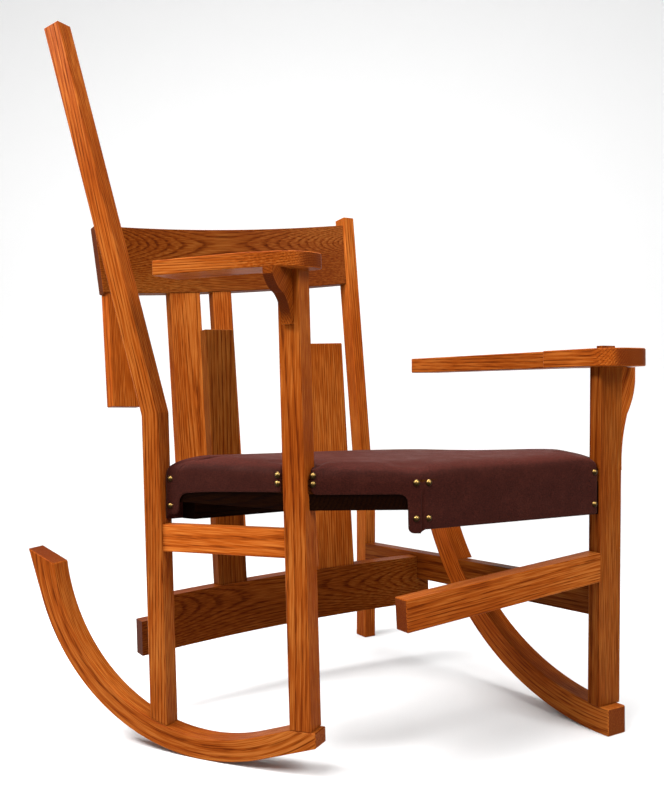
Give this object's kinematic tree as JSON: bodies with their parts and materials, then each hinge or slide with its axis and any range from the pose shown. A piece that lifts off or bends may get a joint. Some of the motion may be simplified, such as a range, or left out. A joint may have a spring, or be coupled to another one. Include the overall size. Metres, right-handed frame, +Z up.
{
  "type": "rocking chair",
  "caption": "Oak rocking chair with a padded seat, built askew: its members are cut short and shifted, its back and arms end free, and one rear post stands on the floor.",
  "frame": {"origin": "centre of the far rear post's foot, on the floor", "axes": "+X to the far side, the sitter's left, +Y backwards, +Z up"},
  "size_m": [0.7748, 0.7999, 1.0469],
  "materials": {
    "oak": "satin oil",
    "seat_frame": "dark stain",
    "seat_board": "unfinished",
    "seat_cover": "matte, fine grain",
    "brass": "antique",
    "steel": "zinc plated"
  },
  "bodies": {
    "root": {"board_screws": "steel", "brass_nails": "brass", "crest_rail": "oak", "far_arm": "oak", "far_corbel": "oak", "far_front_post": "oak", "far_rear_corner_block": "seat_board", "far_rear_post": "oak", "far_rocker": "oak", "far_seat_rail": "seat_frame", "far_side_stretcher": "oak", "front_apron": "seat_cover", "front_corner_block": "seat_board", "front_seat_rail": "seat_frame", "front_stretcher": "oak", "lower_back_rail": "oak", "lower_slat_left": "oak", "lower_slat_right": "oak", "near_apron": "seat_cover", "near_arm": "oak", "near_corbel": "oak", "near_front_post": "oak", "near_front_seat_rail": "seat_frame", "near_rear_corner_block": "seat_board", "near_rear_post": "oak", "near_rocker": "oak", "near_seat_rail": "seat_frame", "near_side_stretcher": "oak", "rear_apron": "seat_cover", "rear_seat_rail": "seat_frame", "seat_board": "seat_board", "seat_cushion": "seat_cover", "upper_slat_left": "oak", "upper_slat_middle": "oak", "upper_slat_right": "oak"}
  },
  "joints": []
}
